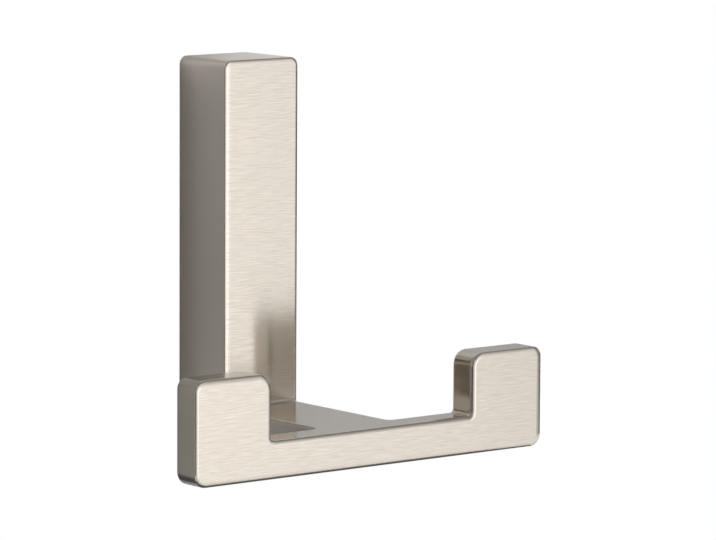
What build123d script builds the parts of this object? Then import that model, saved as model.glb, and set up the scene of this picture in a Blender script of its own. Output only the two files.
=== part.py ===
"""Double robe hook with its concealed wall bracket, in millimetres.

One nickel-plated zinc casting: an upright post that covers the bracket, a level arm that comes
forward from the post's foot, and a U-shaped cross bar whose two raised ends are the hooks.
X runs along the cross bar, +Y points into the wall and +Z is up. The wall plane is y = 0, and the
origin lies in it, midway between the bracket's two screw holes.
"""
from build123d import *
import math
import os

# Cross bar and its two hooks
bar_length = 84.8
bar_thickness = 6.4
bar_height = 7.5
hook_height = 19.85
hook_width = 17.65
hook_foot_radius = 2.5
hook_outer_radius = 2.05
hook_inner_radius = 2.85
notch_radius = 0.8

# Post and arm, which are equally wide
projection = 50.8
post_width = 18.0
post_depth = 15.15
post_height = 76.2
post_corner_radius = 1.7

# Blends between and around the faces of the casting
front_edge_radius = 0.65
body_edge_radius = 0.75
wall_edge_radius = 0.15
arm_to_bar_radius = 0.8
arm_to_post_radius = 0.6

# Bays cored into the post's back
side_wall = 2.4
face_wall = 3.15
top_wall = 3.0
bottom_wall = 5.0
rib_thickness = 2.4
core_draft = 1.0
bay_corner_radius = 0.8
bay_end_radius = 0.6

# Wall bracket, bent from flat strip
strip_thickness = 2.0
strip_bend_radius = 1.0
tab_reach = 9.5
tab_corner_radius = 1.5
foot_droop = 8.0
screw_hole_spacing = 30.0
screw_hole_radius = 2.2
screw_hole_to_tab = 7.5
bracket_side_gap = 0.5
bracket_seat_gap = 0.2

# Set screw in the post's underside
thread_radius = 2.0
thread_gap = 0.05
hole_mouth_chamfer = 0.4
set_screw_length = 6.0
set_screw_recess = 0.3
set_screw_from_wall = 5.5
set_screw_end_chamfer = 0.35
set_screw_tip_radius = 1.2
socket_across_flats = 2.0
socket_depth = 2.4

# Places that follow from the sizes above
bar_rear = bar_thickness - projection
notch_half = bar_length / 2 - hook_width
droop_slope = math.tan(math.radians(foot_droop))
head_top = screw_hole_spacing / 2 + screw_hole_to_tab
foot_seat = -head_top
tip_height = set_screw_recess + set_screw_length
post_bottom = foot_seat - thread_gap - set_screw_tip_radius * droop_slope - tip_height
post_top = post_bottom + post_height
floor_height = post_bottom + bar_height
bay_width = post_width - 2 * side_wall
bay_depth = post_depth - face_wall
bay_narrowing = tab_reach * math.tan(math.radians(core_draft))
lower_bay = (post_bottom + bottom_wall, head_top + bracket_seat_gap + bay_narrowing)
upper_bay = (lower_bay[1] + rib_thickness, post_top - top_wall)
bracket_width = bay_width - 2 * bracket_side_gap

# How near a measured place lies to the place it is looked for at
close = 0.01


def outline_plate(corners, radii, y_front, y_rear):
    """A plate between two places along Y, from X and Z corners that each have a radius."""
    outline = FilletPolyline(*corners, radius=radii, close=True)
    face = Plane.XZ.offset(-y_rear) * make_face(outline)
    return extrude(face, amount=y_rear - y_front)


def sharp_edges(solid):
    """The edges at which two faces meet in a corner, without the smooth borders of blends."""
    faces = solid.faces()
    found = ShapeList()
    for edge in solid.edges():
        beside = [face for face in faces if any(edge.is_same(own) for own in face.edges())]
        middle = edge @ 0.5
        if len(beside) == 2:
            turn = beside[0].normal_at(middle).get_angle(beside[1].normal_at(middle))
            if turn > 45:
                found.append(edge)
    return found


def cross_bar():
    """The U-shaped bar: a low middle between two upright hooks."""
    end = bar_length / 2
    top = post_bottom + hook_height
    corners = [
        (-end, post_bottom),
        (-end, top),
        (-notch_half, top),
        (-notch_half, floor_height),
        (notch_half, floor_height),
        (notch_half, top),
        (end, top),
        (end, post_bottom),
    ]
    left = [hook_foot_radius, hook_outer_radius, hook_inner_radius, notch_radius]
    return outline_plate(corners, left + left[::-1], -projection, bar_rear)


def arm():
    """The level arm from the cross bar back to the post."""
    half = post_width / 2
    corners = [
        (-half, post_bottom),
        (-half, floor_height),
        (half, floor_height),
        (half, post_bottom),
    ]
    return outline_plate(corners, [0, 0, 0, 0], bar_rear, -post_depth)


def post():
    """The upright post, with its two top corners rounded from front to back."""
    half = post_width / 2
    corners = [(-half, post_bottom), (-half, post_top), (half, post_top), (half, post_bottom)]
    radii = [0, post_corner_radius, post_corner_radius, 0]
    return outline_plate(corners, radii, -post_depth, 0)


def at_y(edges, y):
    """The edges whose middles lie in a plane across Y."""
    return edges.filter_by_position(Axis.Y, y - close, y + close)


def blended(body):
    """The casting with its two kinds of inner corner filled and its outer edges rounded."""
    beside_arm = post_width / 2 + close
    upright = at_y(body.edges().filter_by(Axis.Z), bar_rear)
    arm_ends = upright.filter_by_position(Axis.X, -beside_arm, beside_arm)
    body = fillet(arm_ends, arm_to_bar_radius)
    across = at_y(body.edges().filter_by(Axis.X), -post_depth)
    arm_root = across.filter_by_position(Axis.Z, floor_height - close, floor_height + close)
    body = fillet(arm_root, arm_to_post_radius)
    body = fillet(at_y(sharp_edges(body), -projection), front_edge_radius)
    outer = sharp_edges(body).filter_by_position(Axis.Y, -projection, -close)
    body = fillet(outer, body_edge_radius)
    return fillet(at_y(sharp_edges(body), 0), wall_edge_radius)


def cored_bay(z_low, z_high):
    """The core of a pocket in the post's back, with drafted sides and rounded corners."""
    mouth = RectangleRounded(bay_width, z_high - z_low, bay_corner_radius)
    face = Plane.XZ * Pos(0, (z_low + z_high) / 2) * mouth
    core = extrude(face, amount=bay_depth, taper=core_draft)
    return fillet(core.faces().sort_by(Axis.Y)[0].edges(), bay_end_radius)


def set_screw_hole():
    """The tapped hole through the post's underside, with a chamfered mouth."""
    mouth_radius = thread_radius + hole_mouth_chamfer
    drill = Cylinder(thread_radius, 2 * tip_height)
    mouth = Pos(0, 0, hole_mouth_chamfer / 2) * Cone(mouth_radius, thread_radius, hole_mouth_chamfer)
    return Pos(0, -set_screw_from_wall, post_bottom) * (drill + mouth)


def hook_body():
    """The one-piece casting: cross bar, arm and post, cored from the back and tapped from below."""
    body = blended(cross_bar() + arm() + post())
    return body - cored_bay(*lower_bay) - cored_bay(*upper_bay) - set_screw_hole()


def wall_bracket():
    """A strip bent into a shallow channel, with two wall-screw holes and a drooping foot."""
    plate_middle = -strip_thickness / 2
    tab_end = -tab_reach
    foot_rise = (set_screw_from_wall + plate_middle) * droop_slope
    foot_middle = foot_seat + strip_thickness / 2 / math.cos(math.radians(foot_droop))
    foot_drop = (tab_reach - set_screw_from_wall) * droop_slope
    head_middle = head_top - strip_thickness / 2
    path = Plane.YZ * FilletPolyline(
        (tab_end, foot_middle - foot_drop),
        (plate_middle, foot_middle + foot_rise),
        (plate_middle, head_middle),
        (tab_end, head_middle),
        radius=strip_bend_radius + strip_thickness / 2,
    )
    start = Plane(path @ 0, x_dir=(1, 0, 0), z_dir=path % 0)
    strip = sweep(start * Rectangle(bracket_width, strip_thickness), path)
    tab_corners = [
        edge
        for edge in strip.edges()
        if edge.center().Y < tab_end + strip_thickness and abs(edge.length - strip_thickness) < close
    ]
    strip = fillet(tab_corners, tab_corner_radius)
    hole = Plane.XZ * Cylinder(screw_hole_radius, strip_thickness * 3)
    for height in (-screw_hole_spacing / 2, screw_hole_spacing / 2):
        strip -= Pos(0, 0, height) * hole
    return strip


def set_screw():
    """A headless screw with a hexagon socket in its lower end and a narrowed upper end."""
    radius = thread_radius - thread_gap
    tip_chamfer = radius - set_screw_tip_radius
    screw = Pos(0, 0, set_screw_length / 2) * Cylinder(radius, set_screw_length)
    lower, upper = screw.edges().group_by(Axis.Z)[0], screw.edges().group_by(Axis.Z)[-1]
    screw = chamfer(lower, set_screw_end_chamfer)
    screw = chamfer(screw.edges().group_by(Axis.Z)[-1], tip_chamfer)
    hexagon = RegularPolygon(socket_across_flats / 2, 6, major_radius=False)
    screw -= extrude(hexagon, amount=socket_depth)
    return Pos(0, -set_screw_from_wall, post_bottom + set_screw_recess) * screw


if __name__ == "__main__":
    os.makedirs("parts", exist_ok=True)
    for node in (hook_body, wall_bracket, set_screw):
        export_step(node(), f"parts/{node.__name__}.step")
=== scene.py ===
# %% [markdown]
# # A double robe hook in satin nickel
# The real object is one zinc casting with nickel plating: an upright post, a level arm at its foot
# and a U-shaped cross bar whose raised ends are the hooks. A bent steel bracket is hidden behind the
# post, and a small socket screw in the underside holds the casting on it. This notebook loads the
# measured solids as a fixed frame, dresses each one with a finer surface and a finish, and sets up
# the camera and the studio. Everything is in metres, with +Z up and the wall at y = 0.

# %% Load the measured frame
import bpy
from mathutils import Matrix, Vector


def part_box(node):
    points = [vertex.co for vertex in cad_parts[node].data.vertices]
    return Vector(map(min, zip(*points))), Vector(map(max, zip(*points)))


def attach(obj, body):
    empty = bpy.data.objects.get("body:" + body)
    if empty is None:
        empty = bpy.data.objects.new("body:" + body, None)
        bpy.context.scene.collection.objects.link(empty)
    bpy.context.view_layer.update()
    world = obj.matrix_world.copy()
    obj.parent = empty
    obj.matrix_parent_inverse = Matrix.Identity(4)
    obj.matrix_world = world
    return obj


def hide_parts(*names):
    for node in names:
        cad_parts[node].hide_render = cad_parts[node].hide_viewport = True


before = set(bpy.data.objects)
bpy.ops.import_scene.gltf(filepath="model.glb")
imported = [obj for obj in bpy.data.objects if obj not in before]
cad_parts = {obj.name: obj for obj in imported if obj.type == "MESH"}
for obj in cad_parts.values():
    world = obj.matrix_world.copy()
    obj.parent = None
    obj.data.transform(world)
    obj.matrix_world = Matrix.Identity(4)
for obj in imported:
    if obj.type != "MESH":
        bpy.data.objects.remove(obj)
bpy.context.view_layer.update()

# %% Bring in Blender and numpy
import math
from types import SimpleNamespace

import bpy
import numpy as np
from mathutils import Matrix, Vector

MM = 0.001
scene = bpy.context.scene
print("nodes:", sorted(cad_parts))

# %% [markdown]
# ## Camera
# The photograph is taken from the front, left and a little above, from far away, so the lines along
# each direction stay almost parallel. Its place and turn were found by matching the object's corners,
# in a picture 716 pixels wide. A camera looks along its own -Z: it is rolled first, then tipped up
# from looking at the floor, and turned about the vertical last.

# %% Place the camera
camera_place = (-0.542507, -0.726460, 0.120170)
camera_turn = math.radians(-38.553)
camera_tip = math.radians(90 - 7.305)
camera_roll = math.radians(0.324)
film_width = 36
focal_length = 229.775

camera = bpy.data.objects.new("camera", bpy.data.cameras.new("camera"))
camera.data.sensor_width = film_width
camera.data.lens = focal_length
camera.data.clip_start = 0.01
camera.matrix_world = (
    Matrix.Translation(camera_place)
    @ Matrix.Rotation(camera_turn, 4, "Z")
    @ Matrix.Rotation(camera_tip, 4, "X")
    @ Matrix.Rotation(camera_roll, 4, "Z")
)
scene.collection.objects.link(camera)
scene.camera = camera
scene.view_settings.view_transform = "Standard"
print("distance from the origin, m:", round(camera.location.length, 3))

# %% [markdown]
# ## A small kit for shader nodes
# Every finish below is a node tree. One helper adds a node, sets what it is told and joins its inputs:
# an input that is given another node's output is linked, and any other value is set on the socket.
# The others are the few steps that come back in many trees.

# %% Helpers for node trees
def add(tree, kind, inputs=None, **settings):
    """Adds a node of this kind, with its settings and its inputs, which go by name or number."""
    made = tree.nodes.new("ShaderNode" + kind)
    for name, value in settings.items():
        setattr(made, name, value)
    for socket, value in (inputs or {}).items():
        if isinstance(value, bpy.types.NodeSocket):
            tree.links.new(value, made.inputs[socket])
        else:
            made.inputs[socket].default_value = value
    return made


def new_tree(owner):
    """An empty node tree on a material or world."""
    owner.use_nodes = True
    owner.node_tree.nodes.clear()
    return owner.node_tree


def calculated(tree, operation, first, second=0.0):
    """A Math node's result."""
    return add(tree, "Math", {0: first, 1: second}, operation=operation).outputs[0]


def chained(tree, operation, *values):
    """One Math operation run through all the values, such as their product."""
    result = values[0]
    for value in values[1:]:
        result = calculated(tree, operation, result, value)
    return result


def ranged(tree, value, span, low=0.0, high=1.0, curve="LINEAR"):
    """Low where the value is at the span's start, high where it is at its end, and level beyond."""
    inputs = {"Value": value, "From Min": span[0], "From Max": span[1], "To Min": low, "To Max": high}
    return add(tree, "MapRange", inputs, interpolation_type=curve).outputs[0]


def greys(tree, value, table):
    """The grey that a table of (value, grey) rows gives for a value, with straight runs between."""
    start, end = table[0][0], table[-1][0]
    ramp = add(tree, "ValToRGB", {0: ranged(tree, value, (start, end))})
    steps = ramp.color_ramp.elements
    for place, _ in table[1:-1]:
        steps.new((place - start) / (end - start))
    for step, (_, level) in zip(steps, table):
        step.color = (level, level, level, 1)
    return ramp.outputs["Color"]


def own_place(tree):
    """The object's own X, Y and Z, as three sockets."""
    return add(tree, "SeparateXYZ", {0: add(tree, "TexCoord").outputs["Object"]}).outputs


def emission(tree, colour, strength):
    """A shader that glows evenly."""
    return add(tree, "Emission", {"Color": colour, "Strength": strength}).outputs[0]


def mixed_shader(tree, mask, first, second):
    """The first shader where the mask is 0 and the second where it is 1."""
    return add(tree, "MixShader", {0: mask, 1: first, 2: second}).outputs[0]


def seen_directly(tree):
    """1 where a ray comes from the camera, or by way of a mirror or glass, and 0 for soft light."""
    ray = add(tree, "LightPath").outputs
    kinds = ray["Is Camera Ray"], ray["Is Glossy Ray"], ray["Is Transmission Ray"]
    return chained(tree, "MAXIMUM", *kinds)


white = (1, 1, 1, 1)
print("shader helpers are ready")

# %% [markdown]
# ## Studio
# The photograph has a pure white background and no shadow in view. Metal has no colour of its own to
# show: all that it shows is the room. So the room is what a photographer builds: a large glowing screen
# at the front right, a wall behind the hook, and glowing cards that draw the dark lines along the
# edges. The camera doesn't see the wall, the screen and the cards, only the metal does. The screen and
# the cards are painted reflections that glow, not lamps, and the wall has painted light and shade.
# The world is white for the camera and for reflections, and a softer white as a light.

# %% World
fill_light = 0.14

world = bpy.data.worlds.new("studio_white")
scene.world = world
tree = new_tree(world)
backdrop = add(tree, "Background", {"Color": white, "Strength": 1.0}).outputs[0]
fill = add(tree, "Background", {"Color": white, "Strength": fill_light}).outputs[0]
add(tree, "OutputWorld", {"Surface": mixed_shader(tree, seen_directly(tree), fill, backdrop)})
print("world:", world.name)

# %% [markdown]
# Everything that stands around the hook is a flat piece, either in the picture, as the floor is, or
# only in reflections. Places around the hook are given by a bearing: 0 is straight back through the
# wall, 90 is along +X, and 180 is straight in front.

# %% Flat stage pieces
def flat_piece(name, centre, across, up, paint):
    """A rectangle about a centre, spanned by two half-side vectors. The paint fills its node tree."""
    corners = np.array(centre) + np.array([[-1, -1], [1, -1], [1, 1], [-1, 1]]) @ np.array([across, up])
    sheet = bpy.data.meshes.new(name)
    sheet.from_pydata(corners, [], [(0, 1, 2, 3)])
    sheet.materials.append(bpy.data.materials.new(name))
    tree = new_tree(sheet.materials[0])
    add(tree, "OutputMaterial", {"Surface": paint(tree)})
    made = bpy.data.objects.new(name, sheet)
    scene.collection.objects.link(made)
    return made


def only_in_reflections(piece):
    """The piece shows in metal and nowhere else, and throws no shadow."""
    piece.visible_camera = False
    piece.visible_diffuse = False
    piece.visible_shadow = False


def towards(bearing, distance, height):
    """The place at a bearing, a level distance and a height."""
    turn = math.radians(bearing)
    return (distance * math.sin(turn), distance * math.cos(turn), height)


def upright_card(name, bearing, distance, height, width, tall, paint):
    """A card that stands square to its bearing, seen in reflections only."""
    across = towards(bearing - 90, width / 2, 0)
    centre = towards(bearing, distance, height)
    only_in_reflections(flat_piece(name, centre, across, (0, 0, tall / 2), paint))


# %% [markdown]
# The floor keeps a shadow near the hook and fades to the backdrop's white further off, so that no
# horizon shows.

# %% Floor
ground = -0.35
ground_half = 14
fade_from, fade_to = 0.7, 1.3
floor_glow = 0.3


def floor_paint(tree):
    """Pale paint near the origin that turns to even white further off."""
    place = add(tree, "TexCoord").outputs["Object"]
    away = add(tree, "VectorMath", {0: place}, operation="LENGTH").outputs["Value"]
    far = ranged(tree, away, (fade_from, fade_to), curve="SMOOTHSTEP")
    paint = add(tree, "BsdfDiffuse", {"Color": (0.8, 0.8, 0.8, 1)}).outputs[0]
    lifted = add(tree, "AddShader", {0: paint, 1: emission(tree, white, floor_glow)}).outputs[0]
    seen = mixed_shader(tree, far, lifted, emission(tree, white, 1.0))
    return mixed_shader(tree, seen_directly(tree), paint, seen)


flat_piece("floor", (0, 0, ground), (ground_half, 0, 0), (0, ground_half, 0), floor_paint)
print("floor at", ground)

# %% [markdown]
# The left-facing sides mirror the wall beside the post, so its shades are what they show. The table
# gives them along X as painted light and shade. The hook's own shadow on the wall is a painted dark
# patch to the left.

# %% Wall
# Painted light and shade of the wall: its grey by place along X
wall_painted_shades = (
    (-100 * MM, 0.50),
    (-40 * MM, 0.45),
    (-22 * MM, 0.60),
    (-13 * MM, 0.86),
    (-11 * MM, 0.84),
    (-9 * MM, 0.69),
    (0 * MM, 0.72),
    (40 * MM, 0.70),
    (100 * MM, 0.60),
)
# Spans and strengths of the painted light, the painted shade and the hook's painted shadow on the wall
right_of_post = (-6 * MM, 4 * MM)
upper_wall, upper_painted_light_gain = (25 * MM, 50 * MM), 1.4
far_right, lower_wall, far_right_painted_shade = (95 * MM, 120 * MM), (-2 * MM, -14 * MM), 0.12
shadow_left, shadow_right, shadow_top = (-75 * MM, -71 * MM), (-43 * MM, -47 * MM), (14 * MM, 4 * MM)
painted_shadow_dimming = 0.3
opening_half, opening_low, opening_high = 8.8 * MM, -28.8 * MM, 47.0 * MM
wall_set_back, wall_middle = 0.6 * MM, 0.2
wall_half_width, wall_half_height = 1.5, 1.2


def wall_painted_shading(tree):
    """Matt paint whose grey follows the table along X.

    Its greys are painted light and shade. Right of the post it is painted lighter upwards, as if lit
    from above, and far to the right it is painted dim low down. The hook's shadow is painted as a dark
    patch on the left. Behind the post the wall is open, so that the hollow back isn't shut in the dark.
    """
    x, _, z = own_place(tree)
    # Painted light: lighter upwards right of the post
    lighter = ranged(tree, z, upper_wall, 1.0, upper_painted_light_gain)
    painted_rise_right = ranged(tree, ranged(tree, x, right_of_post), (0, 1), 1.0, lighter)
    # Painted shade: dim far to the right, low down
    painted_dim_right = ranged(tree, x, far_right, 1.0, far_right_painted_shade)
    painted_dim_low = ranged(tree, z, lower_wall, 1.0, painted_dim_right)
    # Painted shadow of the hook: a dark patch left of the post
    patch = chained(
        tree,
        "MULTIPLY",
        ranged(tree, x, shadow_left),
        ranged(tree, x, shadow_right),
        ranged(tree, z, shadow_top),
    )
    shadow = ranged(tree, patch, (0, 1), 1.0, painted_shadow_dimming)
    level = chained(tree, "MULTIPLY", painted_rise_right, painted_dim_low, shadow)
    painted_shade_grey = greys(tree, x, wall_painted_shades)
    grey = add(tree, "VectorMath", {0: painted_shade_grey, 3: level}, operation="SCALE").outputs[0]
    beside = calculated(tree, "GREATER_THAN", calculated(tree, "ABSOLUTE", x), opening_half)
    above = calculated(tree, "GREATER_THAN", z, opening_high)
    below = calculated(tree, "LESS_THAN", z, opening_low)
    solid = chained(tree, "MAXIMUM", beside, above, below)
    paint = add(tree, "BsdfDiffuse", {"Color": grey}).outputs[0]
    return mixed_shader(tree, solid, add(tree, "BsdfTransparent").outputs[0], paint)


wall_centre = (0, wall_set_back, wall_middle)
wall = flat_piece("wall", wall_centre, (wall_half_width, 0, 0), (0, 0, wall_half_height), wall_painted_shading)
only_in_reflections(wall)
print("wall greys:", len(wall_painted_shades))

# %% [markdown]
# The screen is what the front faces mirror in the photograph. It is brightest near the front and
# dimmer round to the right and upwards, and so are they. Narrow dark cards stand low at both sides,
# where the rounded edges mirror them as thin dark lines, with pale grey ones behind them. In front on
# the left are a pale card and a small dark one. The right hook's inner face mirrors them by way of the
# post's front. The tops mirror a dim ceiling, and the undersides a dim card below, which stands for the
# shade under the hook. The screen, the cards and the ceiling glow at set strengths and show only in
# the metal: they are painted reflections, not lamps.
# A row of the first table is a card's name, bearing, distance, middle, width, height and brightness.

# %% Screen and cards
screen_greys = (
    (62, 0.025),
    (53, 0.125),
    (45.4, 0.33),
    (39, 0.485),
    (35.1, 0.56),
    (28.7, 0.7),
    (17.2, 0.8),
    (4.4, 0.75),
    (-2, 0.6),
)
screen_fade, screen_low, screen_high = (-0.05, 0.45), 2.1, 1.2


def screen_paint(tree):
    """A glow by the angle round from straight in front, towards +X, that fades upwards."""
    x, y, z = own_place(tree)
    from_front = calculated(tree, "ARCTAN2", x, calculated(tree, "MULTIPLY", y, -1.0))
    table = [(math.radians(angle), level) for angle, level in screen_greys]
    strength = ranged(tree, z, screen_fade, screen_low, screen_high, curve="SMOOTHSTEP")
    return emission(tree, greys(tree, from_front, table), strength)


def even_glow(brightness):
    """An even glow that stands in for a lit card, as bright from both sides: painted light."""
    return lambda tree: emission(tree, white, brightness)


# Painted reflections: a glowing screen and glowing cards, seen only in the metal
upright_card("screen", 150, 1.6, 0.3, 2.0, 1.3, screen_paint)
for name, bearing, distance, height, width, tall, brightness in (
    ("flag_left", -117, 1.5, -0.19, 1.26, 0.26, 0.01),
    ("left_side", -117, 1.6, 0.2, 1.34, 1.1, 0.24),
    ("flag_front", -153, 0.55, 0.0, 0.28, 0.7, 0.62),
    ("flag_upper", -145, 0.5, 0.14, 0.08, 0.2, 0.04),
    ("flag_right", 96, 1.5, -0.19, 1.15, 0.26, 0.01),
    ("right_side", 96, 1.6, 0.2, 1.23, 1.1, 0.42),
):
    upright_card(name, bearing, distance, height, width, tall, even_glow(brightness))
# Painted reflections above and below: a dim glowing ceiling, and a dim card that stands for the shade
# under the hook
for name, centre, half, brightness in (
    ("ceiling", (0, 0, 1.0), 3.0, 0.26),
    ("flag_below", (0, -0.02, -0.12), 0.13, 0.12),
):
    only_in_reflections(flat_piece(name, centre, (half, 0, 0), (0, half, 0), even_glow(brightness)))

# %% [markdown]
# Two soft boxes light the wall and the floor. The metal mirrors what they light and not the lamps,
# which would show in it as bright squares.

# %% Lamps
def soft_box(name, centre, size, radiance):
    """A square lamp that faces the origin. Its power is its face's brightness times pi and its area."""
    lamp = bpy.data.lights.new(name, "AREA")
    lamp.shape = "SQUARE"
    lamp.size = size
    lamp.energy = radiance * math.pi * size**2
    made = bpy.data.objects.new(name, lamp)
    made.location = centre
    made.rotation_euler = (-Vector(centre)).to_track_quat("-Z", "Y").to_euler()
    made.visible_camera = False
    made.visible_glossy = False
    scene.collection.objects.link(made)


soft_box("key_box", towards(145, 1.0, 0.35), size=1.0, radiance=2.1)
soft_box("top_box", (0.0, -0.3, 0.9), size=0.8, radiance=0.8)

# %% [markdown]
# ## The casting as blocks
# The casting is straight-sided before its edges are rounded, so it can be drawn as blocks: a few
# planes along X, Y and Z cut space into cells, and each cell is either metal or air. Every face
# between a metal cell and an air cell is a piece of the surface. That gives one closed skin with no
# overlaps, which a union of separate boxes wouldn't.
# The outer planes come from the frame, and the inner ones are sizes of the casting.

# %% Sizes of the casting
low, high = (np.array(corner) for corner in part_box("hook_body"))
bar_thickness = 6.4 * MM
bar_height = 7.5 * MM
hook_height = 19.85 * MM
hook_width = 17.65 * MM
left_hook_rise = 0.5 * MM
post_width = 18.0 * MM
post_depth = 15.15 * MM
side_wall = 2.4 * MM
face_wall = 3.15 * MM
top_wall = 3.0 * MM
bottom_wall = 5.0 * MM
rib_low = 22.866 * MM
rib_thickness = 2.4 * MM
bay_draft = math.tan(math.radians(1.0))

bar_half = high[0]
notch_half = bar_half - hook_width
post_half = post_width / 2
bay_half = post_half - side_wall
front_y = low[1]
bar_rear = front_y + bar_thickness
post_front = -post_depth
bay_end = post_front + face_wall
wall_y = high[1]
bottom = low[2]
floor_z = bottom + bar_height
hook_top = bottom + hook_height
post_top = high[2]
lower_bay = (bottom + bottom_wall, rib_low)
upper_bay = (rib_low + rib_thickness, post_top - top_wall)
print("post top to bottom, mm:", (post_top - bottom) / MM)

# %% [markdown]
# The cells are one boolean array. Comparing it with itself, shifted by one cell along an axis, finds
# all the faces across that axis at once. A face is wound one way or the other, so that it looks from
# metal to air.
# The bays get narrower towards their ends, so that the core can be drawn out of the casting.

# %% Turn cells of metal into a closed skin
near = MM / 100


def block_skin(planes, is_metal):
    """Vertices and quads of the skin between metal and air.

    planes holds three rising arrays of places. is_metal takes the middles of the cells as three
    arrays and gives a boolean array. A quad lies wherever two neighbours along an axis differ.
    """
    middles = [(p[1:] + p[:-1]) / 2 for p in planes]
    metal = np.pad(is_metal(*np.meshgrid(*middles, indexing="ij")), 1)
    counts = [len(p) for p in planes]
    number = np.arange(np.prod(counts)).reshape(counts)
    quads = []
    for axis in range(3):
        here = np.moveaxis(metal, (axis, (axis + 1) % 3, (axis + 2) % 3), (0, 1, 2))
        corner = np.moveaxis(number, (axis, (axis + 1) % 3, (axis + 2) % 3), (0, 1, 2))
        below, above = here[:-1, 1:-1, 1:-1], here[1:, 1:-1, 1:-1]
        ring = np.stack(
            [corner[:, :-1, :-1], corner[:, 1:, :-1], corner[:, 1:, 1:], corner[:, :-1, 1:]], -1
        )
        quads += [ring[below & ~above], ring[above & ~below][:, ::-1]]
    quads = np.concatenate(quads)
    grid = np.stack(np.meshgrid(*planes, indexing="ij"), -1).reshape(-1, 3)
    used, renumbered = np.unique(quads, return_inverse=True)
    return grid[used], renumbered.reshape(quads.shape)


def casting_metal(x, y, z):
    """True in the cross bar, arm and post, and False in the two bays of the post's back."""
    across = np.abs(x)
    bar = (y < bar_rear) & ((z < floor_z) | ((across > notch_half) & (z < hook_top)))
    arm = (y > bar_rear) & (across < post_half) & (z < floor_z)
    post = (y > post_front) & (across < post_half)
    in_bays = ((z > lower_bay[0]) & (z < lower_bay[1])) | ((z > upper_bay[0]) & (z < upper_bay[1]))
    bays = (y > bay_end) & (across < bay_half) & in_bays
    return (bar | arm | post) & ~bays


def lies(places, *wanted):
    """True for each place that is one of the wanted ones, to a hundredth of a millimetre."""
    return (np.abs(places[:, None] - np.array(wanted)) < near).any(1)


def mesh_object(name, mesh):
    """A new object in the scene with this mesh."""
    made = bpy.data.objects.new(name, mesh)
    scene.collection.objects.link(made)
    return made


x_steps = np.array([bay_half, post_half, notch_half, bar_half])
casting_planes = [
    np.concatenate([-x_steps[::-1], x_steps]),
    np.array([front_y, bar_rear, post_front, bay_end, wall_y]),
    np.array([bottom, lower_bay[0], floor_z, hook_top, *lower_bay[1:], *upper_bay, post_top]),
]
skin, skin_quads = block_skin(casting_planes, casting_metal)
bay_back = (np.abs(skin[:, 0]) < bay_half + near) & lies(skin[:, 1], bay_end)
draft = bay_draft * (wall_y - bay_end)
for bay_low, bay_high in (lower_bay, upper_bay):
    skin[bay_back & lies(skin[:, 2], bay_low), 2] += draft
    skin[bay_back & lies(skin[:, 2], bay_high), 2] -= draft
skin[bay_back, 0] -= np.sign(skin[bay_back, 0]) * draft
skin[lies(skin[:, 2], hook_top) & (skin[:, 0] < 0), 2] += left_hook_rise
mesh = bpy.data.meshes.new("casting")
mesh.from_pydata(skin, [], skin_quads)
casting = mesh_object("casting", mesh)
print("skin:", len(skin), "corners,", len(skin_quads), "faces")

# %% [markdown]
# ## Rounding the edges
# A casting has no sharp edge: outer corners are rounded and inner ones are filled. A Bevel modifier
# makes both as true arcs, and each edge's weight sets its own radius. It runs in two rounds, because
# the outline's corners have to be round before the edges that run around them are.
# An edge's radius is worked out from where it lies and which way it runs, all edges at once.

# %% Read a mesh's edges as arrays
sharp_turn = 45


def edge_facts(mesh):
    """Each edge's middle, the axis it runs along, whether it is sharp, its bulge and its facing.

    An edge is sharp where the normals of its two faces are more than sharp_turn degrees apart. The
    bulge is positive where the faces meet in an outer corner and negative in an inner one. The
    facing is the sum of the two normals, so beside a front face its X part is the side face's own.
    """
    def array(items, name, width, kind=float):
        values = np.empty(len(items) * width, kind)
        items.foreach_get(name, values)
        return values.reshape(-1, width) if width > 1 else values

    points = array(mesh.vertices, "co", 3)
    ends = array(mesh.edges, "vertices", 2, int)
    normals = array(mesh.polygons, "normal", 3)
    centres = array(mesh.polygons, "center", 3)
    face_of_loop = np.repeat(np.arange(len(normals)), array(mesh.polygons, "loop_total", 1, int))
    by_edge = np.argsort(array(mesh.loops, "edge_index", 1, int), kind="stable")
    beside = face_of_loop[by_edge].reshape(-1, 2)
    middle = points[ends].mean(1)
    along = np.abs(np.diff(points[ends], axis=1)[:, 0]).argmax(1)
    first, second = normals[beside[:, 0]], normals[beside[:, 1]]
    turn = np.degrees(np.arccos(np.clip((first * second).sum(1), -1, 1)))
    sharp = turn > sharp_turn
    bulge = ((centres[beside[:, 0]] - centres[beside[:, 1]]) * first).sum(1)
    return SimpleNamespace(middle=middle, along=along, sharp=sharp, bulge=bulge, facing=first + second)


print("sharp edges of the blocks:", edge_facts(casting.data).sharp.sum())

# %% Round chosen edges, each by its own radius
def applied(piece):
    """The piece's mesh with its modifiers worked in, as a new mesh."""
    graph = bpy.context.evaluated_depsgraph_get()
    return bpy.data.meshes.new_from_object(
        piece.evaluated_get(graph), preserve_all_data_layers=True, depsgraph=graph
    )


def rounded(piece, radius, segments):
    """Bevels the piece's edges: an edge of radius r gets an arc whose ends lie r from the edge."""
    weight = piece.data.attributes.get("bevel_weight_edge")
    if weight is None:
        weight = piece.data.attributes.new("bevel_weight_edge", "FLOAT", "EDGE")
    weight.data.foreach_set("value", radius / radius.max())
    bevel = piece.modifiers.new("round", "BEVEL")
    bevel.limit_method = "WEIGHT"
    bevel.width = radius.max()
    bevel.segments = segments
    bevel.use_clamp_overlap = False
    piece.data = applied(piece)
    piece.modifiers.clear()


def merged_flats(piece):
    """Joins neighbouring faces that lie in one plane, so that a bevel sees only the real edges."""
    flats = piece.modifiers.new("flats", "DECIMATE")
    flats.decimate_type = "DISSOLVE"
    flats.angle_limit = math.radians(0.5)
    piece.data = applied(piece)
    piece.modifiers.clear()


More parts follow.
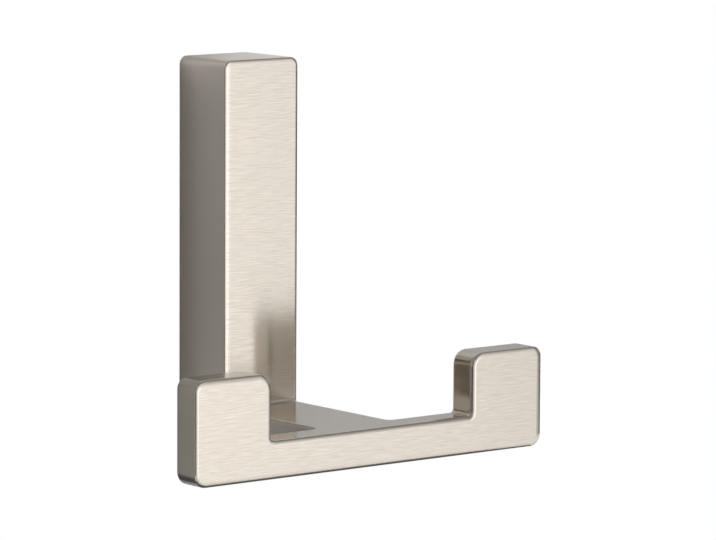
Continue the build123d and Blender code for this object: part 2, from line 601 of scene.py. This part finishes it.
hook_foot_radius = 2.5 * MM
hook_outer_radius = 2.05 * MM
hook_inner_radius = 2.85 * MM
notch_radius = 0.8 * MM
post_corner_radius = 1.7 * MM
arm_to_bar_radius = 0.8 * MM
arm_to_post_radius = 0.6 * MM
bay_corner_radius = 0.8 * MM
well_inside = 1 * MM


def outline_radius(mesh):
    """The radius of each edge that runs from front to back, and of the two inner corner lines."""
    edge = edge_facts(mesh)
    x, y, z = np.abs(edge.middle[:, 0]), edge.middle[:, 1], edge.middle[:, 2]
    wide, deep, upright = (edge.sharp & (edge.along == axis) for axis in range(3))
    bar, post, inner = y < bar_rear, y > post_front, edge.bulge < 0
    at_top = lies(z, hook_top, hook_top + left_hook_rise)
    radius = np.zeros(len(x))
    radius[deep & bar & lies(x, bar_half) & lies(z, bottom)] = hook_foot_radius
    radius[deep & bar & lies(x, bar_half) & at_top] = hook_outer_radius
    radius[deep & bar & lies(x, notch_half) & at_top] = hook_inner_radius
    radius[deep & bar & lies(x, notch_half) & lies(z, floor_z)] = notch_radius
    radius[deep & post & lies(x, post_half) & lies(z, post_top)] = post_corner_radius
    radius[deep & post & (x < post_half - well_inside)] = bay_corner_radius
    radius[upright & inner & lies(x, post_half) & lies(y, bar_rear)] = arm_to_bar_radius
    radius[wide & inner & lies(y, post_front) & lies(z, floor_z)] = arm_to_post_radius
    return radius


rounded(casting, outline_radius(casting.data), segments=10)
merged_flats(casting)
print("after the first round:", len(casting.data.polygons), "faces")

# %% [markdown]
# The belt that brushes the front faces also rolls over their edges, so these aren't plain arcs: the
# face starts to fall away a millimetre or so before its edge, and turns tightly only at the edge
# itself. That is a quarter of an ellipse, wide along the face and shallow from front to back. It is
# made as a true arc first and then squashed towards the front. The belt runs from left to right, so
# it rolls an edge that it leaves differently from one that it meets. The left hook's top was polished
# most of all.

# %% Roll the front edges of the cross bar
roll_meeting = (0.7 * MM, 0.95 * MM)
roll_leaving = (0.8 * MM, 1.3 * MM)
roll_along = 1.15 * MM
roll_left_hook = 0.45 * MM
squash_depth = 1.65 * MM
squash_at = [-bar_half, -notch_half, notch_half, notch_half + 3 * MM, bar_half]
squash_ratio = [0.55, 0.3, 1.0, 0.4, 0.25]


def front_roll(mesh):
    """How far the roll reaches over the bar's front face, from which way each edge looks.

    An edge that looks up or down gets roll_along. One that looks left is met by the belt and one
    that looks right is left by it, and their reaches change steadily from one end of the bar to
    the far side of the notch.
    """
    edge = edge_facts(mesh)
    x, y, z = edge.middle.T
    to_right, to_left = np.clip(edge.facing[:, 0], 0, 1), np.clip(-edge.facing[:, 0], 0, 1)
    meeting = np.interp(x, [-bar_half, notch_half], roll_meeting)
    leaving = np.interp(x, [-notch_half, bar_half], roll_leaving)
    up_left_hook = (x < 0) * np.clip((z - floor_z) / (hook_top - floor_z), 0, 1)
    reach = roll_along + (leaving - roll_along) * to_right + (meeting - roll_along) * to_left
    reach += roll_left_hook * up_left_hook * np.clip(edge.facing[:, 2], 0, 1)
    return np.where(edge.sharp & lies(y, front_y), reach, 0)


def squash(mesh, plane, depth, places, ratios):
    """Moves points that lie within a depth behind a plane across Y to a share of their depth.

    The share is one of the ratios where X is one of the places, and changes steadily between.
    """
    points = np.empty(len(mesh.vertices) * 3)
    mesh.vertices.foreach_get("co", points)
    points = points.reshape(-1, 3)
    behind = points[:, 1] - plane
    kept = behind * np.interp(points[:, 0], places, ratios)
    points[:, 1] = plane + np.where((behind > 0) & (behind < depth), kept, behind)
    mesh.vertices.foreach_set("co", points.ravel())
    mesh.update()


rounded(casting, front_roll(casting.data), segments=12)
squash(casting.data, front_y, squash_depth, squash_at, squash_ratio)
print("with rolled front edges:", len(casting.data.polygons), "faces")

# %% [markdown]
# The other edges get plain arcs, apart from those of the post's front, which are squashed as the bar's
# are. The rim at the wall and the mouths of the bays come last, and their arcs are small.

# %% Round the edges that run around the outline
body_edge_radius = 0.75 * MM
post_front_ratio = 0.42
wall_edge_radius = 0.15 * MM
bay_end_radius = 0.6 * MM


def body_rim(mesh):
    """The radius of each edge that is still sharp, other than at the wall."""
    edge = edge_facts(mesh)
    x, y, z = np.abs(edge.middle[:, 0]), edge.middle[:, 1], edge.middle[:, 2]
    between = (z > bottom + well_inside) & (z < post_top - well_inside)
    inside = (y > bay_end - near) & (x < bay_half + near) & between
    radius = np.where(edge.sharp & ~inside, body_edge_radius, 0)
    radius[edge.sharp & lies(y, wall_y)] = 0
    radius[edge.sharp & inside & lies(y, bay_end)] = bay_end_radius
    return radius


def wall_rim(mesh):
    """The radius of the post's outer rim at the wall, and of the mouths of the bays."""
    edge = edge_facts(mesh)
    return np.where(edge.sharp & lies(edge.middle[:, 1], wall_y), wall_edge_radius, 0)


rounded(casting, body_rim(casting.data), segments=8)
squash(casting.data, post_front, body_edge_radius + near, [0], [post_front_ratio])
rounded(casting, wall_rim(casting.data), segments=4)
print("after the second round:", len(casting.data.polygons), "faces")

# %% [markdown]
# ## Set screw and its hole
# A set screw is a turned rod with a helical thread, a hexagon socket in its lower end and a cone at
# its tip. All of it is one surface of height and angle: rings of points, carried from the tip down
# the outside, round the mouth and up into the socket. The thread is a ridge whose height along the
# rod moves by one pitch for each turn. The hole is a plain one with a chamfered mouth, because the
# screw fills it and hides its thread.

# %% Skin over rings of points
def ring_mesh(name, rings):
    """A closed skin over rings of points: quads between neighbouring rings and a face on each end."""
    count, around = rings.shape[:2]
    number = np.arange(count * around).reshape(count, around)
    beside = np.roll(number, -1, 1)
    quads = np.stack([number[:-1], number[1:], beside[1:], beside[:-1]], -1).reshape(-1, 4)
    ends = [number[0].tolist(), number[-1, ::-1].tolist()]
    made = bpy.data.meshes.new(name)
    made.from_pydata(rings.reshape(-1, 3), [], quads.tolist() + ends)
    return made


points_per_ring = 64
angle = np.linspace(0, 2 * np.pi, points_per_ring, endpoint=False)


def turned_rings(radius, heights, centre):
    """Points of a turned surface about a vertical line through centre: one ring for each height.

    A point lies off the line by its radius times the cosine of its angle along X, and times the
    sine along Y. The radius is one number for a ring, as a column, or one for each of its angles.
    """
    radius = np.broadcast_to(radius, (len(heights), len(angle)))
    z = np.broadcast_to(heights[:, None], radius.shape)
    return np.stack([centre[0] + radius * np.cos(angle), centre[1] + radius * np.sin(angle), z], -1)


def cut_out(piece, cutter_mesh):
    """Takes the cutter's shape out of the piece."""
    cutter = mesh_object("cutter", cutter_mesh)
    cut = piece.modifiers.new("cut", "BOOLEAN")
    cut.operation = "DIFFERENCE"
    cut.solver = "EXACT"
    cut.object = cutter
    piece.data = applied(piece)
    piece.modifiers.clear()
    bpy.data.objects.remove(cutter)


screw_low, screw_high = (np.array(corner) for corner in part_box("set_screw"))
screw_radius = (screw_high[0] - screw_low[0]) / 2
screw_line = (screw_low[:2] + screw_high[:2]) / 2
print("screw radius, mm:", screw_radius / MM)

# %% Cut the set screw's hole
hole_radius = 2.0 * MM
hole_depth = 7.0 * MM
hole_mouth_chamfer = 0.4 * MM
past_the_mouth = 0.5 * MM

drill_heights = bottom + np.array([hole_depth, hole_mouth_chamfer, 0, -past_the_mouth])
drill_radius = hole_radius + np.array([0, 0, hole_mouth_chamfer, hole_mouth_chamfer + past_the_mouth])
cut_out(casting, ring_mesh("drill", turned_rings(drill_radius[:, None], drill_heights, screw_line)))
print("with the hole:", len(casting.data.polygons), "faces")

# %% Make the set screw
thread_pitch = 0.7 * MM
thread_depth = 0.43 * MM
crest_share, flank_share = 0.14, 0.66
rings_per_pitch = 10
tip_radius = 1.2 * MM
end_chamfer = 0.35 * MM
socket_flat = 1.0 * MM
socket_depth = 2.4 * MM
socket_lead = 0.15 * MM
socket_centre = socket_depth + socket_flat / 4


def threaded(heights):
    """Radius of the thread at each height and angle.

    The phase is the height in pitches less the angle in turns. Its distance from a whole number,
    doubled, is 0 on a crest and 1 in a root. The flanks between are straight, with flats at both
    ends.
    """
    phase = heights[:, None] / thread_pitch - angle / (2 * np.pi)
    from_crest = np.abs(phase - np.round(phase)) * 2
    return screw_radius - thread_depth * np.clip((from_crest - crest_share) / flank_share, 0, 1)


# Outside, the radius is the least of three: the thread's, the tip's cone's and the lower chamfer's. In
# the socket it is that of a flat's middle over the cosine of the angle from there.
outside = np.arange(screw_high[2], screw_low[2], -thread_pitch / rings_per_pitch)
cone = tip_radius + (screw_high[2] - outside)
taper = screw_radius - end_chamfer + (outside - screw_low[2])
barrel = np.minimum(threaded(outside), np.minimum(cone, taper)[:, None])
hexagon = socket_flat / np.cos((angle + np.pi / 6) % (np.pi / 3) - np.pi / 6)
rim = np.full_like(angle, screw_radius - end_chamfer)
inside = np.stack([rim, hexagon + socket_lead, hexagon, hexagon, hexagon / 2])
inside_heights = screw_low[2] + np.array([0, 0, socket_lead, socket_depth, socket_centre])
screw_radii = np.concatenate([barrel, inside])
screw_heights = np.concatenate([outside, inside_heights])
screw_mesh = ring_mesh("socket_screw", turned_rings(screw_radii, screw_heights, screw_line))
screw = mesh_object("socket_screw", screw_mesh)
print("screw:", len(screw.data.polygons), "faces")

# %% [markdown]
# ## Wall bracket
# The bracket is a strip of sheet steel bent twice, so it is a profile carried along a path: a
# rectangle with slightly broken edges, along a line with two bends. Towards both ends the profile
# gets narrower, which rounds the strip's corners. Two turned cutters then punch the screw holes, and
# because they flare at both faces the holes have a rolled edge, as punched holes do.

# %% Carry the strip's profile along its bent line
bracket_low, bracket_high = (np.array(corner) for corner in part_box("wall_bracket"))
strip_thickness = 2.0 * MM
strip_width = bracket_high[0] - bracket_low[0]
bend_radius = 2.0 * MM
foot_droop = math.radians(8.0)
tab_end = -9.5 * MM
tab_corner_radius = 1.5 * MM
strip_edge = 0.2 * MM
points_per_corner = 6
points_per_end = 9
head_middle = 21.5 * MM
foot_middle = -22.5 * MM + strip_thickness / 2 / math.cos(foot_droop)
plate_middle = -strip_thickness / 2
screw_from_wall = -screw_line[1]


def unit(vectors):
    """The vectors at length 1: each one over its own length."""
    return vectors / np.linalg.norm(vectors, axis=-1, keepdims=True)


def bent_line(corners, radius, steps):
    """Points along a line through corners, with an arc in place of each inner one.

    An arc touches both runs. Its centre lies on the line that halves the corner, off the corner by
    the radius over the cosine of half the turn.
    """
    corners = np.array(corners)
    runs = unit(np.diff(corners, axis=0))
    turn = np.arccos((runs[:-1] * runs[1:]).sum(1))[:, None, None]
    inward, along = unit(runs[1:] - runs[:-1])[:, None], unit(runs[1:] + runs[:-1])[:, None]
    centre = corners[1:-1, None] + inward * radius / np.cos(turn / 2)
    swing = np.linspace(-0.5, 0.5, steps)[None, :, None] * turn
    arcs = centre + radius * (np.sin(swing) * along - np.cos(swing) * inward)
    return np.concatenate([corners[:1], arcs.reshape(-1, 2), corners[-1:]])


def strip_rings(line, half_width):
    """Rings of a flat strip whose middle follows a line of (y, z) points, half_width wide at each.

    The profile is a rectangle with quarter-circle edges, wound once round by one angle. Its width
    lies along X, and its thickness along the line's normal.
    """
    corner, step = np.divmod(np.arange(4 * points_per_corner), points_per_corner)
    turn = (corner + step / (points_per_corner - 1)) * np.pi / 2
    side = np.sign(np.cos((corner + 0.5) * np.pi / 2))
    face = np.sign(np.sin((corner + 0.5) * np.pi / 2))
    x = side * (half_width[:, None] - strip_edge) + strip_edge * np.cos(turn)
    off = face * (strip_thickness / 2 - strip_edge) + strip_edge * np.sin(turn)
    tangent = unit(np.gradient(line, axis=0))
    normal = np.stack([-tangent[:, 1], tangent[:, 0]], 1)
    yz = line[:, None] + off[None, :, None] * normal[:, None]
    return np.concatenate([x[..., None], yz], -1)


line = bent_line(
    [
        (tab_end, foot_middle - (-tab_end - screw_from_wall) * math.tan(foot_droop)),
        (plate_middle, foot_middle + (screw_from_wall + plate_middle) * math.tan(foot_droop)),
        (plate_middle, head_middle),
        (tab_end, head_middle),
    ],
    bend_radius,
    steps=12,
)
end_turn = np.linspace(0, np.pi / 2, points_per_end)
end_steps = tab_corner_radius * (1 - np.cos(end_turn))[:, None]
foot_end = line[0] + end_steps * unit(line[1] - line[0])
head_end = line[-1] + end_steps * unit(line[-2] - line[-1])
line = np.concatenate([foot_end, line[1:-1], head_end[::-1]])
narrowing = tab_corner_radius * (1 - np.sin(end_turn))
half_width = np.full(len(line), strip_width / 2)
half_width[: len(narrowing)] -= narrowing
half_width[-len(narrowing) :] -= narrowing[::-1]
bracket = mesh_object("bracket_strip", ring_mesh("bracket_strip", strip_rings(line, half_width)))
print("bent strip:", len(bracket.data.polygons), "faces")

# %% Punch the two wall-screw holes
screw_hole_radius = 2.2 * MM
screw_hole_spacing = 30.0 * MM
rolled_edge = 0.3 * MM
rings_per_hole = 41

# The rolled edge is a quarter of a circle, so the hole gets wider by its radius less the root of the
# difference of two squares: that of the radius and that of how far into the edge the ring lies.
off_middle = np.linspace(-strip_thickness, strip_thickness, rings_per_hole)
into_edge = np.clip(np.abs(off_middle) - (strip_thickness / 2 - rolled_edge), 0, rolled_edge)
flare = screw_hole_radius + rolled_edge - np.sqrt(rolled_edge**2 - into_edge**2)
for height in (-screw_hole_spacing / 2, screw_hole_spacing / 2):
    x, z = flare[:, None] * np.cos(angle), flare[:, None] * np.sin(angle)
    y = np.broadcast_to(plate_middle + off_middle[:, None], x.shape)
    cut_out(bracket, ring_mesh("punch", np.stack([x, y, height + z], -1)))
print("bracket:", len(bracket.data.polygons), "faces")

# %% [markdown]
# ## Shading normals
# A flat face next to a rounded edge shares its corners with it. If the corners' normals are plain
# averages, reflections bend over the whole flat face. Here each face counts by its area, so a large
# flat face keeps its own normal and only the rounded edge turns. Edges sharper than the limit, such
# as a hole's mouth, stay sharp.

# %% Smooth by angle, weighted by area
def smoothed(piece, limit):
    """Smooth shading that keeps large faces flat and leaves edges sharper than limit degrees."""
    piece.data.shade_smooth()
    piece.data.set_sharp_from_angle(angle=math.radians(limit))
    weighted = piece.modifiers.new("flat faces first", "WEIGHTED_NORMAL")
    weighted.weight = 100
    weighted.keep_sharp = True


for piece in (casting, screw, bracket):
    smoothed(piece, limit=32)
print("smoothed: 3 pieces")

# %% [markdown]
# ## Finishes
# ### Effects that several finishes share
# A brushed surface is scored by a belt: many fine parallel grooves, each a few millimetres long and
# none quite straight. Noise that is stretched along the grooves makes them: the place is divided by a
# length along the belt and by a much smaller spacing across it. A second, slower noise pushes the
# pattern sideways, so that the grooves wander, and a third, coarser one gathers them into bands.

# %% Node group: brush lines
def effect(name, inputs, outputs):
    """An empty node group, from a vector Place and floats, given by their defaults, to floats."""
    tree = bpy.data.node_groups.new(name, "ShaderNodeTree")
    tree.interface.new_socket("Place", in_out="INPUT", socket_type="NodeSocketVector")
    for socket, value in inputs.items():
        made = tree.interface.new_socket(socket, in_out="INPUT", socket_type="NodeSocketFloat")
        made.default_value = value
    for socket in outputs:
        tree.interface.new_socket(socket, in_out="OUTPUT", socket_type="NodeSocketFloat")
    return tree, tree.nodes.new("NodeGroupInput").outputs, tree.nodes.new("NodeGroupOutput").inputs


def noise(tree, place, detail, roughness=0.5, scale=1.0):
    """Soft noise about 0.5, whose largest lumps are about one unit across at scale 1."""
    inputs = {"Vector": place, "Scale": scale, "Detail": detail, "Roughness": roughness}
    return add(tree, "TexNoise", inputs).outputs[0]


brush_lines, given, result = effect(
    "brush_lines", {"Length": 8.0 * MM, "Spacing": 0.2 * MM, "Wander": 0.1 * MM}, ["Height", "Tone"]
)
drift_scale = 90.0
band_scale = (0.7, 0.7, 0.5)
fine_share, band_share = 0.65, 0.35
tone_span = (0.37, 0.63)

tree = brush_lines
slow = noise(tree, given["Place"], detail=2.0, scale=drift_scale)
drift = calculated(tree, "MULTIPLY", calculated(tree, "SUBTRACT", slow, 0.5), given["Wander"])
x, y, z = add(tree, "SeparateXYZ", {0: given["Place"]}).outputs
stretched = {
    0: calculated(tree, "DIVIDE", x, given["Length"]),
    1: calculated(tree, "DIVIDE", y, given["Length"]),
    2: calculated(tree, "DIVIDE", calculated(tree, "ADD", z, drift), given["Spacing"]),
}
place = add(tree, "CombineXYZ", stretched).outputs[0]
fine = noise(tree, place, detail=4.0, roughness=0.62)
broad = add(tree, "VectorMath", {0: place, 1: band_scale}, operation="MULTIPLY").outputs[0]
bands = noise(tree, broad, detail=3.0, roughness=0.6)
fine_part = calculated(tree, "MULTIPLY", fine, fine_share)
band_part = calculated(tree, "MULTIPLY", bands, band_share)
tone = ranged(tree, calculated(tree, "ADD", fine_part, band_part), tone_span)
tree.links.new(fine, result["Height"])
tree.links.new(tone, result["Tone"])
print("group:", tree.name)

# %% [markdown]
# Plating and handling leave a faint cloudiness that shows only as a change in gloss. It is slow noise
# in several sizes. The casting that lies under the plating has a skin like fine orange peel, which is
# left as it is where nobody polishes, inside the hollow back.

# %% Node groups: haze and cast skin
def by_size(tree, given):
    """The group's Place, counted in steps of its Size."""
    steps = calculated(tree, "DIVIDE", 1.0, given["Size"])
    return add(tree, "VectorMath", {0: given["Place"], 3: steps}, operation="SCALE").outputs[0]


haze, given, result = effect("plating_haze", {"Size": 12.0 * MM}, ["Cloud"])
cloud = noise(haze, by_size(haze, given), detail=5.0, roughness=0.55)
haze.links.new(ranged(haze, cloud, (0.3, 0.7)), result["Cloud"])

cast_skin, given, result = effect("cast_skin", {"Size": 0.5 * MM}, ["Height"])
cast_skin.links.new(noise(cast_skin, by_size(cast_skin, given), detail=3.0), result["Height"])
print("groups:", haze.name, cast_skin.name)

# %% Helpers for finishes
def placed(tree, group, **inputs):
    """A group's outputs, with the group placed in a material and fed the object's own coordinates."""
    node = tree.nodes.new("ShaderNodeGroup")
    node.node_tree = group
    tree.links.new(add(tree, "TexCoord").outputs["Object"], node.inputs["Place"])
    for name, value in inputs.items():
        node.inputs[name].default_value = value
    return node.outputs


def summed(tree, *parts):
    """The sum of masks, each turned first from 0 and 1 into its own two values."""
    return chained(tree, "ADD", *(ranged(tree, mask, (0, 1), low, high) for mask, low, high in parts))


def blend_colour(tree, mask, dark, light):
    """A colour between two, by a mask."""
    mixed = add(tree, "Mix", {0: mask, "A": (*dark, 1), "B": (*light, 1)}, data_type="RGBA")
    return mixed.outputs["Result"]


def bump(tree, height, strength, distance, **normal):
    """A normal tilted by a height from 0 to 1 that stands for a relief of this distance."""
    inputs = {"Height": height, "Strength": strength, "Distance": distance, **normal}
    return add(tree, "Bump", inputs).outputs[0]


def metal(name, finish, anisotropic=0.0):
    """A metallic material. The finish fills its tree and gives the shader's inputs by name."""
    made = bpy.data.materials.new(name)
    tree = new_tree(made)
    inputs = {"Metallic": 1.0, "Anisotropic": anisotropic, **finish(tree)}
    shader = add(tree, "BsdfPrincipled", inputs)
    add(tree, "OutputMaterial", {"Surface": shader.outputs[0]})
    return made


print("finish helpers are ready")

# %% [markdown]
# ### Satin nickel
# Nickel is a warm white metal. The sides, top and edges are polished to a soft gloss. The front faces
# are brushed level, which makes them anisotropic: a reflection stays sharp along the grooves and is
# smeared across them. The Tangent node reads a UV map whose first direction runs across the grooves,
# and the shader is rougher along it. Anisotropy is one number for a material, so the front faces and
# the rest are two materials on one piece, and the hollow back is a third.
# The post's front also falls away a little before its left edge, too softly for the mesh to show, so
# the normal is tilted there.

# %% Nickel materials
brushed_colours = (0.67, 0.615, 0.545), (0.81, 0.745, 0.66)
satin_colours = (0.735, 0.675, 0.60), (0.75, 0.69, 0.615)
cast_colours = (0.56, 0.52, 0.46), (0.64, 0.595, 0.53)
post_roll_reach = 1.4 * MM
post_roll_depth = 0.09 * MM


def brushed_front(tree):
    """Level brush lines in colour, gloss and relief, over the roll at the post's left edge.

    The roll falls away as the square of how near the edge is.
    """
    lines = placed(tree, brush_lines, Length=3.6 * MM, Spacing=0.13 * MM, Wander=0.04 * MM)
    cloud = placed(tree, haze)["Cloud"]
    x, y, _ = own_place(tree)
    from_edge = ranged(tree, x, (-post_half, -post_half + post_roll_reach))
    nearness = calculated(tree, "POWER", calculated(tree, "SUBTRACT", 1.0, from_edge), 2.0)
    on_post = calculated(tree, "GREATER_THAN", y, (post_front + bar_rear) / 2)
    fallen = chained(tree, "MULTIPLY", nearness, on_post, -1.0)
    rolled = bump(tree, fallen, strength=1.0, distance=post_roll_depth)
    tangent = add(tree, "Tangent", direction_type="UV_MAP", uv_map="across_grooves")
    return {
        "Base Color": blend_colour(tree, lines["Tone"], *brushed_colours),
        "Roughness": summed(tree, (lines["Tone"], 0.14, 0.12), (cloud, -0.006, 0.006)),
        "Normal": bump(tree, lines["Height"], strength=0.5, distance=0.002 * MM, Normal=rolled),
        "Tangent": tangent.outputs[0],
    }


def satin(tree):
    """Soft gloss with a faint grain."""
    cloud = placed(tree, haze)["Cloud"]
    grain = placed(tree, brush_lines, Length=3 * MM, Spacing=0.5 * MM)["Tone"]
    return {
        "Base Color": blend_colour(tree, grain, *satin_colours),
        "Roughness": summed(tree, (cloud, 0.125, 0.165), (grain, -0.01, 0.01)),
    }


def unpolished(tree):
    """Plating over the pebbled skin of the casting."""
    height = placed(tree, cast_skin)["Height"]
    cloud = placed(tree, haze, Size=5 * MM)["Cloud"]
    return {
        "Base Color": blend_colour(tree, cloud, *cast_colours),
        "Roughness": summed(tree, (cloud, 0.42, 0.34)),
        "Normal": bump(tree, height, strength=0.6, distance=0.06 * MM),
    }


brushed_nickel = metal("nickel_brushed_front", brushed_front, anisotropic=1.0)
satin_nickel = metal("nickel_satin", satin)
cast_nickel = metal("nickel_unpolished", unpolished)
print("nickel:", brushed_nickel.name, satin_nickel.name, cast_nickel.name)

# %% [markdown]
# ### Bracket and screw steel
# The bracket's zinc plating is a little blue, mottled in patches a few millimetres across, and still
# shows the rolling lines of the sheet. The screw is turned from stainless bar, so its fine lines run
# round it: the same lines, set much closer together up the rod.

# %% Steel materials
zinc_colours = (0.56, 0.60, 0.64), (0.68, 0.71, 0.74)
steel_colours = (0.40, 0.39, 0.38), (0.52, 0.51, 0.50)


def zinc_plated(tree):
    """Mottled plating over rolled sheet."""
    cloud = placed(tree, haze, Size=3 * MM)["Cloud"]
    rolled = placed(tree, brush_lines, Length=5 * MM, Spacing=0.25 * MM)
    return {
        "Base Color": blend_colour(tree, cloud, *zinc_colours),
        "Roughness": summed(tree, (cloud, 0.36, 0.24), (rolled["Tone"], -0.03, 0.03)),
        "Normal": bump(tree, rolled["Height"], strength=0.4, distance=0.01 * MM),
    }


def turned_steel(tree):
    """Bare steel with fine turning lines."""
    turned = placed(tree, brush_lines, Length=2 * MM, Spacing=0.06 * MM)
    cloud = placed(tree, haze, Size=1.5 * MM)["Cloud"]
    return {
        "Base Color": blend_colour(tree, cloud, *steel_colours),
        "Roughness": summed(tree, (turned["Tone"], 0.34, 0.24)),
        "Normal": bump(tree, turned["Height"], strength=0.5, distance=0.006 * MM),
    }


zinc_plate = metal("zinc_plated_steel", zinc_plated)
screw_steel = metal("stainless_screw", turned_steel)
print("steel:", zinc_plate.name, screw_steel.name)

# %% [markdown]
# A face of the casting is brushed if it looks straight ahead or nearly so, unpolished if it lies in the
# hollow back, and satin otherwise.

# %% Put the finishes on the faces
brushed_within = math.radians(18)
mouth_margin = 0.1 * MM
map_size = 0.1


def face_array(mesh, name):
    """A vector of every face as an array."""
    values = np.empty(len(mesh.polygons) * 3)
    mesh.polygons.foreach_get(name, values)
    return values.reshape(-1, 3)


body = casting.data
facing, centre = face_array(body, "normal"), face_array(body, "center")
brushed = facing[:, 1] < -math.cos(brushed_within)
hollow = (centre[:, 1] > bay_end - mouth_margin) & (np.abs(centre[:, 0]) < bay_half + mouth_margin)
hollow &= (centre[:, 2] > lower_bay[0] - mouth_margin) & (centre[:, 2] < upper_bay[1] + mouth_margin)
finish_number = np.where(hollow, 2, np.where(brushed, 0, 1))
body.materials.clear()
for finish in (brushed_nickel, satin_nickel, cast_nickel):
    body.materials.append(finish)
body.polygons.foreach_set("material_index", finish_number)
bracket.data.materials.append(zinc_plate)
screw.data.materials.append(screw_steel)
print("brushed, satin, hollow faces:", np.bincount(finish_number))

# %% [markdown]
# The UV map gives Z first and X second, so its first direction is upwards, across the grooves.

# %% Map the direction across the grooves
corner_of = np.empty(len(body.loops), int)
body.loops.foreach_get("vertex_index", corner_of)
places = np.empty(len(body.vertices) * 3)
body.vertices.foreach_get("co", places)
flat_map = places.reshape(-1, 3)[corner_of][:, [2, 0]] / map_size
across_grooves = body.uv_layers.new(name="across_grooves")
across_grooves.data.foreach_set("uv", flat_map.ravel())
print("mapped corners:", len(flat_map))

# %% [markdown]
# ## Hand the pieces to the frame
# Each piece rides on the object's one body and takes the place of its measured solid, which is
# hidden but stays in the scene.

# %% Ride and replace
for piece, node, finish in (
    (casting, "hook_body", "satin_nickel"),
    (bracket, "wall_bracket", "zinc_plated_steel"),
    (screw, "set_screw", "screw_steel"),
):
    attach(piece, "root")
    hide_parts(node)
